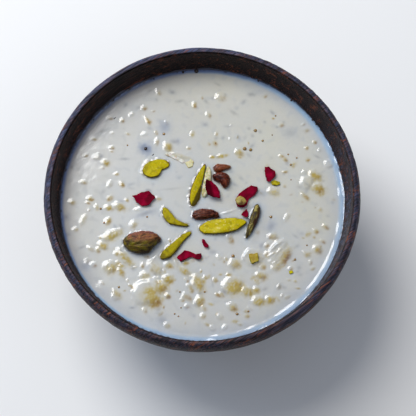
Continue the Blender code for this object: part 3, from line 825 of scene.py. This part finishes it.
def shaping(node, voxel):
    """A fine copy of a CAD node and its points in the node's own frame."""
    piece = fine_copy(node + "_fine", closed(welded(node), node + "_welded"), voxel)
    return piece, local_frame(node, vertices_of(piece))


PISTACHIO_CUT = rgb(194, 176, 8)
PISTACHIO_PALE = rgb(218, 204, 70)
PISTACHIO_FLECK = rgb(228, 218, 130)
PISTACHIO_DEEP = rgb(142, 128, 10)
PISTACHIO_SHADE = rgb(88, 74, 18)
PISTACHIO_EDGE = rgb(70, 52, 14)
SKIN_BROWN = rgb(152, 98, 52)
SKIN_PURPLE = rgb(116, 58, 46)
SKIN_ROSE = rgb(160, 78, 86)
SKIN_GREEN = rgb(100, 92, 18)
SKIN_DARK = rgb(46, 28, 14)
SLIVER_OLIVE = rgb(92, 78, 22)
SLIVER_VEIN = rgb(176, 160, 84)
# painted light shining through a raisin's thin sides
RAISIN_PAINTED_GLOW = rgb(150, 92, 48)


def side(local, angle, low, high):
    """How far a point lies towards one side of its nut: angle is counted from its long axis."""
    turn = math.radians(angle)
    return smoothstep(low, high, local[:, 0] * math.cos(turn) + local[:, 1] * math.sin(turn))


def make_cut_nut(node, seed, pale=0.3, deep=0.0, skin=0.7, shaded=(), tips=()):
    """A slice of pistachio: bright flesh on its cut face, darker and browner round its ragged edge.

    shaded and tips are sides, as side() takes them, of darker flesh and of purple-brown skin.
    """
    piece, local = shaping(node, 0.19)
    facing = normals_of(piece) @ cut_face_direction(node)
    grainy = noise(local * (0.5, 1, 1), 1.2, 20 + seed)
    fine = noise(local, 0.55, 40 + seed)
    flank = smoothstep(0.9, 0.4, facing)
    ragged = 0.20 * noise(local, 1.5, 30 + seed) + 0.09 * noise(local, 0.7, 50 + seed)
    swell(piece, 0.05 * grainy + 0.03 * fine + ragged * flank)
    flesh = smoothstep(0.62, 0.93, facing + 0.10 * grainy + 0.05 * fine)
    streaks = smoothstep(-0.2, 0.7, noise(local * (0.35, 1, 1), 1.9, 60 + seed))
    deeper = deep + 0.55 * smoothstep(0.0, 0.6, noise(local, 1.6, 80 + seed))
    colour = mix(PISTACHIO_CUT, PISTACHIO_PALE, pale * streaks)
    colour = mix(colour, PISTACHIO_DEEP, deeper)
    colour = mix(colour, PISTACHIO_FLECK, pale * smoothstep(0.36, 0.5, noise(local, 0.9, 70 + seed)))
    for angle, low, high, strength in shaded:
        shade = strength * side(local + 0.25 * fine[:, None], angle, low, high)
        colour = mix(colour, PISTACHIO_SHADE, shade)
    edge = mix(PISTACHIO_DEEP * 0.9, PISTACHIO_EDGE, skin * smoothstep(0.75, 0.2, facing + 0.3 * fine))
    edge = mix(edge, SKIN_BROWN, 0.6 * skin * smoothstep(0.25, 0.6, noise(local, 1.1, 90 + seed)))
    colour = mix(edge, colour, flesh)
    for angle, low, high in tips:
        tip = side(local + 0.4 * grainy[:, None], angle, low, high)
        colour = mix(colour, SKIN_PURPLE * 0.55, 0.85 * tip)
    paint(piece, colour)
    return adopt(piece, NUT, [node])


def make_whole_pistachio():
    """The whole kernel: wrinkled skin, purple-brown over its back and green along its lower side."""
    node = "pistachio_whole"
    piece, local = shaping(node, 0.20)
    along, across = local[:, 0], local[:, 1]
    wrinkle = noise(local * (0.45, 1, 1), 1.3, 101)
    pits = noise(local, 0.6, 102)
    folds = -0.20 * np.exp(-(noise(local * (0.3, 1, 1), 3.4, 103) / 0.10) ** 2)
    swell(piece, 0.15 * wrinkle + 0.08 * pits + folds)
    border = across + 0.10 * along + 1.3 * noise(local * (0.5, 1, 1), 2.2, 104) + 0.5 * pits
    green = np.maximum(smoothstep(0.9, -1.1, border), smoothstep(-4.6, -6.4, along + 1.2 * wrinkle))
    patches = smoothstep(-0.05, 0.35, noise(local * (0.5, 1, 1), 1.5, 105))
    specks = smoothstep(0.05, 0.35, noise(local * (0.7, 1, 1), 0.7, 106))
    ridges = smoothstep(0.05, 0.5, wrinkle + 0.3 * pits)
    colour = mix(SKIN_BROWN, SKIN_PURPLE, 0.75 * patches)
    colour = mix(colour, SKIN_ROSE, 0.35 * smoothstep(2.2, 3.6, across + 0.9 * wrinkle))
    colour = mix(colour, SKIN_PURPLE * 0.5, 0.55 * specks)
    colour = mix(colour, SKIN_GREEN, green * (0.80 + 0.6 * pits))
    colour = mix(colour, PISTACHIO_DEEP, 0.6 * green * ridges)
    colour = mix(colour, SKIN_DARK, 0.85 * smoothstep(-3.0, -4.6, across + 0.5 * wrinkle))
    colour = mix(colour, SKIN_DARK, 0.75 * smoothstep(0.08, 0.45, -wrinkle - 0.3 * pits))
    paint(piece, colour)
    return adopt(piece, SKIN, [node])


def make_dark_sliver():
    """A sliver that lies skin side up: olive-brown with pale veins, dark purple along its right edge."""
    node = "pistachio_sliver_dark"
    piece, local = shaping(node, 0.17)
    across = local[:, 1]
    wrinkle = noise(local * (0.4, 1, 1), 1.0, 111)
    fine = noise(local, 0.5, 112)
    swell(piece, 0.15 * wrinkle + 0.05 * fine)
    colour = mix(SLIVER_OLIVE, SLIVER_VEIN, smoothstep(0.15, 0.5, wrinkle + 0.3 * fine))
    colour = mix(colour, SKIN_DARK, 0.9 * smoothstep(0.0, 0.4, -wrinkle))
    colour = mix(colour, SKIN_PURPLE * 0.45, 0.85 * smoothstep(-0.3, -1.4, across + 0.5 * wrinkle))
    paint(piece, colour)
    return adopt(piece, SKIN, [node])


def make_pale_nut(node, base, shade, seed, brown_side=None, fuller=0.0):
    """An almond sliver or a crumb of nut, with one browner side, swollen by fuller millimetres."""
    piece, local = shaping(node, 0.15)
    grainy = noise(local * (0.4, 1, 1), 1.1, seed)
    fine = noise(local * (0.6, 1, 1), 0.5, seed + 2)
    lumpy = 0.22 * noise(local, 1.7, seed + 3)
    swell(piece, fuller + lumpy + 0.10 * grainy + 0.06 * fine)
    colour = mix(base, shade, smoothstep(-0.1, 0.5, noise(local, 1.3, seed + 1) + 0.4 * fine))
    if brown_side:
        colour = mix(colour, SKIN_BROWN * 0.6, 0.8 * side(local + 0.5 * fine[:, None], *brown_side))
    paint(piece, colour)
    return adopt(piece, ALMOND, [node])


def make_raisin(node, base, light, seed, folds=0.42, painted_glow=(), fuller=0.0):
    """A raisin: deep folds along its length, painted darker as shade, ridges painted lighter as highlight,
    and sides painted brighter where they are thin, as light shining through.
    """
    piece, local = shaping(node, 0.16)
    bend = 0.8 * noise(local, 2.6, seed)
    ridges = np.abs(noise((local + bend[:, None]) * (0.32, 1, 1), 1.05, seed + 1))
    fine = np.abs(noise(local * (0.5, 1, 1), 0.6, seed + 2))
    swell(piece, fuller + folds * (ridges - 0.30) + 0.16 * (fine - 0.25))
    # painted highlight on the ridges, and painted shade, near black, in the folds
    colour = mix(base, light, smoothstep(0.12, 0.55, ridges + 0.45 * fine))
    colour = mix(colour, base * 0.25, 0.8 * smoothstep(0.10, 0.0, ridges))
    # painted light shining through the thin sides
    for angle, low, high in painted_glow:
        colour = mix(colour, RAISIN_PAINTED_GLOW, 0.75 * side(local + 0.6 * bend[:, None], angle, low, high))
    paint(piece, colour)
    return adopt(piece, RAISIN, [node])


make_cut_nut("pistachio_bean", 1, pale=0.15, skin=0.6, shaded=[(130, 2.0, 3.3, 0.35)], tips=[(8, 4.7, 5.9)])
make_cut_nut("pistachio_sliver_tall", 2, pale=0.15, skin=1.0,
             shaded=[(-99, 0.95, 1.5, 1.0)], tips=[(0, 8.0, 9.2)])
make_cut_nut("pistachio_sliver_curved", 3, pale=0.05, deep=0.5, skin=0.7, shaded=[(0, 2.5, 5.5, 0.5)])
make_cut_nut("pistachio_sliver_wide", 4, pale=0.6, skin=0.5,
             shaded=[(-90, 1.9, 2.9, 0.5), (90, 2.3, 3.0, 0.4)])
make_cut_nut("pistachio_sliver_low", 5, pale=0.05, deep=0.55, skin=0.8,
             shaded=[(180, 5.0, 6.5, 0.6), (-90, 0.9, 1.7, 0.6)])
make_whole_pistachio()
make_dark_sliver()
make_pale_nut("almond_sliver", rgb(212, 206, 170), rgb(184, 174, 112), 121,
              brown_side=(-80, 1.5, 2.6), fuller=0.3)
make_pale_nut("nut_bit", rgb(164, 146, 70), rgb(108, 84, 34), 131, brown_side=(-50, 0.6, 2.0))
make_raisin("raisin_long", rgb(64, 18, 11), rgb(120, 60, 38), 141)
make_raisin("raisin_folded", rgb(66, 14, 8), rgb(118, 50, 26), 151,
            painted_glow=[(0, 2.6, 5.0), (60, 3.4, 5.0)], fuller=0.25)
make_raisin("raisin_flap", rgb(104, 42, 18), rgb(144, 76, 40), 161, folds=0.35,
            painted_glow=[(0, 0.5, 3.5)], fuller=0.45)


# -------- small things that float in the cream
def make_fragment(name, outline, thickness, lift, base, shade, material, seed):
    """A small chip with rounded corners: an outline in millimetres, filled out and softened."""
    builder = bmesh.new()
    verts = [builder.verts.new((x, y, LEVEL + lift - thickness)) for x, y in outline]
    bottom = builder.faces.new(verts)
    lifted = bmesh.ops.extrude_face_region(builder, geom=[bottom])["geom"]
    risen = [v for v in lifted if isinstance(v, bmesh.types.BMVert)]
    bmesh.ops.translate(builder, vec=(0, 0, thickness), verts=risen)
    bmesh.ops.scale(builder, vec=(MM, MM, MM), verts=builder.verts)
    bmesh.ops.recalc_face_normals(builder, faces=builder.faces)
    piece = fine_copy(name, closed(builder, name + "_block"), 0.14, softness=14)
    points, normals = vertices_of(piece), normals_of(piece)
    grainy = noise(points, 1.1, seed)
    fine = noise(points, 0.5, seed + 20)
    swell(piece, 0.25 * noise(points, 2.2, seed + 10) + 0.12 * grainy)
    sides = smoothstep(0.9, 0.3, normals[:, 2] + 0.3 * fine)
    patches = smoothstep(-0.1, 0.5, grainy + 0.5 * fine)
    paint(piece, mix(base, shade, 0.55 * patches + sides))
    return adopt(piece, material)


make_fragment("almond_shaving",
              ((-15.6, 20.4), (-14.6, 21.5), (-11.2, 20.0), (-8.0, 18.3), (-6.4, 16.8), (-8.6, 16.7),
               (-12.0, 18.7)),
              1.0, 0.28, rgb(214, 212, 202), rgb(176, 150, 92), ALMOND, 401)
make_fragment("almond_end",
              ((-7.2, 16.8), (-5.6, 17.6), (-4.8, 18.6), (-3.6, 17.2), (-3.9, 15.2), (-5.8, 14.6)),
              1.2, 0.4, rgb(216, 210, 166), rgb(198, 182, 118), ALMOND, 405)
make_fragment("green_chip", ((27.9, 8.6), (29.6, 9.2), (31.8, 8.6), (32.1, 7.3), (30.2, 6.8), (28.6, 7.2)),
              1.2, 0.6, rgb(184, 170, 18), rgb(92, 78, 20), NUT, 402)
make_fragment("yellow_cube", ((18.7, -22.4), (22.4, -21.9), (22.9, -25.4), (20.0, -26.4)),
              3.0, 1.35, rgb(174, 150, 62), rgb(160, 146, 20), NUT, 403)
make_fragment("yellow_crumb", ((35.0, -29.4), (36.3, -28.8), (37.1, -30.1), (35.3, -30.6)),
              0.8, 0.4, rgb(196, 184, 16), rgb(150, 138, 20), NUT, 404)

# Air bubbles: x, y and radius, first on the open cream, then along the wall
BUBBLES = (
    (17.5, 23, 0.8), (20, 22.5, 0.7), (22, 31, 0.7), (25, 26.5, 0.5), (36.5, 16, 0.5), (35.5, 20.5, 0.35),
    (39, 19, 0.35), (28, -6.5, 0.6), (-16, 29.5, 0.6), (12.5, -23, 0.7), (42.5, -18.5, 0.35),
    (37.5, -24.5, 0.5), (-33.5, -36, 0.5), (1, -38, 0.45), (-9, -38, 0.35), (-22.5, -6.5, 0.4),
    (-40, -9, 0.4), (-41.5, -3, 0.5), (30.5, 37.5, 0.35), (29, 29, 0.3), (36.5, 9.5, 0.3), (14, -47, 0.6),
    (18.5, -46, 0.4), (-11, -47, 0.35), (-9.5, -48, 0.35), (-8.5, -44.5, 0.3), (-31, 24.5, 0.35),
    (5.5, 25.5, 0.3),
)
WALL_BUBBLES = (
    (-2.5, 56.5, 0.95), (-8, 56, 0.55), (-30, 48.5, 0.45), (23, 52, 0.35), (36.5, 43.5, 0.45),
    (45, 35, 0.45), (46.5, 33, 0.4), (-20, 53, 0.35), (-36.5, 43.5, 0.35), (-44.5, 35, 0.3),
)
DARK_SPOT = (-23.5, 23.0, 0.7)
DOME_STEPS, DOME_TURNS = 7, 20
GOLD, GOLD_RIM = rgb(150, 120, 70), rgb(92, 64, 34)
NIGHT, NIGHT_RIM = rgb(44, 30, 26), rgb(20, 16, 20)


def add_dome(vertices, faces, x, y, level, radius):
    """Adds one bubble: rings from under the cream's surface up to the top, closed at both ends."""
    start = len(vertices)
    angles = math.tau * np.arange(DOME_TURNS) / DOME_TURNS
    for step in range(DOME_STEPS):
        tilt = math.pi / 2 * (1 - step / DOME_STEPS) * 1.25
        reach, height = radius * math.sin(min(tilt, 1.6)), level + 0.7 * radius * math.cos(tilt)
        vertices += [(x + reach * math.cos(a), y + reach * math.sin(a), height) for a in angles]
    vertices.append((x, y, level + 0.7 * radius))
    rings = start + np.arange(DOME_STEPS * DOME_TURNS).reshape(DOME_STEPS, DOME_TURNS)
    after = np.roll(rings, -1, axis=1)
    faces += np.stack([rings[:-1], after[:-1], after[1:], rings[1:]], -1).reshape(-1, 4).tolist()
    faces += [(i, j, len(vertices) - 1) for i, j in zip(rings[-1].tolist(), after[-1].tolist())]
    faces.append(rings[0, ::-1].tolist())


def make_bubbles(kheer):
    """Glossy little domes on the cream: golden in the open, nearly black against the wall."""
    tree = BVHTree.FromObject(kheer, bpy.context.evaluated_depsgraph_get())
    vertices, faces, colours = [], [], []
    outward = [(x * 1.018, y * 1.018, radius) for x, y, radius in WALL_BUBBLES]
    for x, y, radius in (*BUBBLES, DARK_SPOT, *outward):
        hit = tree.ray_cast(Vector((x * MM, y * MM, 0.1)), Vector((0, 0, -1)))[0]
        add_dome(vertices, faces, x, y, hit.z / MM if hit else LEVEL, radius)
        core, rim = (GOLD, GOLD_RIM) if (x, y, radius) in BUBBLES else (NIGHT, NIGHT_RIM)
        low_rings = 3 * DOME_TURNS
        colours += [rim] * low_rings + [core] * (DOME_STEPS * DOME_TURNS - low_rings + 1)
    piece = new_object("bubbles", vertices, faces, BUBBLE)
    paint(piece, np.array(colours))


make_bubbles(KHEER)


# -------- rose petals
PETAL_RED = rgb(126, 2, 35)
PETAL_BRIGHT = rgb(152, 4, 46)
PETAL_DARK = rgb(74, 3, 18)


def make_petal(node, seed, painted_shade_side=0.0):
    """A torn petal: the solid's outline with a ragged edge, thin, veined and gently crumpled."""
    builder = welded(node)
    bmesh.ops.subdivide_edges(builder, edges=builder.edges, cuts=7, use_grid_fill=True)
    bmesh.ops.triangulate(builder, faces=builder.faces)
    mesh = closed(builder, node + "_fine")
    mesh.shade_smooth()
    piece = placed(node + "_fine", mesh)
    points = vertices_of(piece)
    middle, _, _, half = axes_of(node)
    flat = points * (1, 1, 0)
    offset = points[:, :2] - middle[:2]
    height = points[:, 2]
    _, group = np.unique(np.round(points[:, :2], 3), axis=0, return_inverse=True)
    group = group.ravel()
    core = (np.bincount(group, height) / np.bincount(group))[group]
    away = np.hypot(*offset.T) / half
    ragged = 0.42 * noise(flat, 1.5, seed) + 0.20 * noise(flat, 0.7, seed + 1)
    outward = offset / np.maximum(away, 0.2)[:, None] / half
    spread = points[:, :2] + outward * (ragged * away)[:, None]
    crumple = 0.16 * noise(flat, 2.8, seed + 2) + 0.05 * noise(flat, 1.0, seed + 3)
    thin = core + 0.45 * (height - core)
    move_vertices(piece, np.column_stack([spread, thin + crumple * (0.4 + 0.6 * away)]))
    along, across, _ = local_frame(node, points).T
    fan = np.arctan2(across, along + 1.4 * half)
    veins = np.exp(-((np.sin(fan * 26 + noise(flat, 3.0, seed + 4))) / 0.35) ** 2)
    patches = smoothstep(0.0, 0.3, -noise(flat, 3.4, seed + 6))
    colour = mix(PETAL_RED, PETAL_BRIGHT, smoothstep(-0.2, 0.7, noise(flat, 2.5, seed + 5)))
    colour = mix(colour, PETAL_DARK, 0.22 * veins + 0.60 * patches)
    # painted shade over the left half, where the petal curls
    if painted_shade_side:
        left = smoothstep(0.3, -0.9, offset[:, 0] + 0.25 * offset[:, 1])
        colour = mix(colour, PETAL_DARK * 0.8, painted_shade_side * left)
    paint(piece, colour)
    return adopt(piece, PETAL, [node])


for number, petal in enumerate(sorted(n for n in NODES if n.startswith("petal_"))):
    make_petal(petal, 200 + 10 * number, painted_shade_side=0.85 if petal == "petal_centre" else 0.0)


# -------- floor, light and camera
FLOOR_REACH = 3.0  # from the middle to each side, in metres


def make_floor():
    mesh = bpy.data.meshes.new("floor")
    corners = [(FLOOR_REACH * x, FLOOR_REACH * y, 0) for x, y in ((-1, -1), (1, -1), (1, 1), (-1, 1))]
    mesh.from_pydata(corners, [], [(0, 1, 2, 3)])
    floor = placed("floor", mesh)
    s = Shader("pale_floor", Roughness=0.9, Specular_IOR_Level=0.1)
    s.main.inputs["Base Color"].default_value = (0.80, 0.79, 0.765, 1.0)
    mesh.materials.append(s.material)


def make_softbox(name, azimuth, elevation, distance, size, power, colour):
    """An oval light aimed at the pudding, azimuth counted from +X towards +Y."""
    data = bpy.data.lights.new(name, "AREA")
    data.shape = "ELLIPSE"
    data.size, data.size_y = size
    data.energy = power
    data.color = colour
    lamp = placed(name, data)
    a, e = math.radians(azimuth), math.radians(elevation)
    toward = Vector((math.cos(a) * math.cos(e), math.sin(a) * math.cos(e), math.sin(e)))
    lamp.location = Vector((0, 0, LEVEL * MM)) + toward * distance
    lamp.rotation_euler = toward.to_track_quat("Z", "Y").to_euler()


def make_world(colour, strength):
    world = bpy.data.worlds.new("studio")
    world.use_nodes = True
    world.node_tree.nodes["Background"].inputs["Color"].default_value = (*colour, 1.0)
    world.node_tree.nodes["Background"].inputs["Strength"].default_value = strength
    bpy.context.scene.world = world


CAMERA_TILT = 17.10  # degrees from straight down
CAMERA_DISTANCE = 0.600  # metres
CAMERA_AIM = (2.34, -6.62)  # where the camera's axis meets the level of the rim, in millimetres
CAMERA_LENS = 129.84
SENSOR_WIDTH = 36.0


def make_camera():
    data = bpy.data.cameras.new("camera")
    data.lens = CAMERA_LENS
    data.sensor_width = SENSOR_WIDTH
    camera = placed("camera", data)
    tilt = math.radians(CAMERA_TILT)
    aim = Vector((CAMERA_AIM[0] * MM, CAMERA_AIM[1] * MM, BOWL_HEIGHT * MM))
    camera.location = aim + Vector((0, -math.sin(tilt), math.cos(tilt))) * CAMERA_DISTANCE
    camera.rotation_euler = (tilt, 0, 0)
    bpy.context.scene.camera = camera


make_floor()
make_softbox("window", 128, 51, 1.0, (0.70, 0.70), 9.8, (1.0, 0.99, 0.975))
make_softbox("low_sky", 142, 24, 1.0, (0.90, 0.36), 3.2, (0.55, 0.72, 1.0))
make_softbox("fill", -30, 45, 1.2, (0.9, 0.9), 1.0, (0.86, 0.92, 1.0))
make_world((0.64, 0.70, 0.84), 0.42)
make_camera()
bpy.context.scene.view_settings.view_transform = "Standard"
bpy.context.scene.view_settings.look = "None"
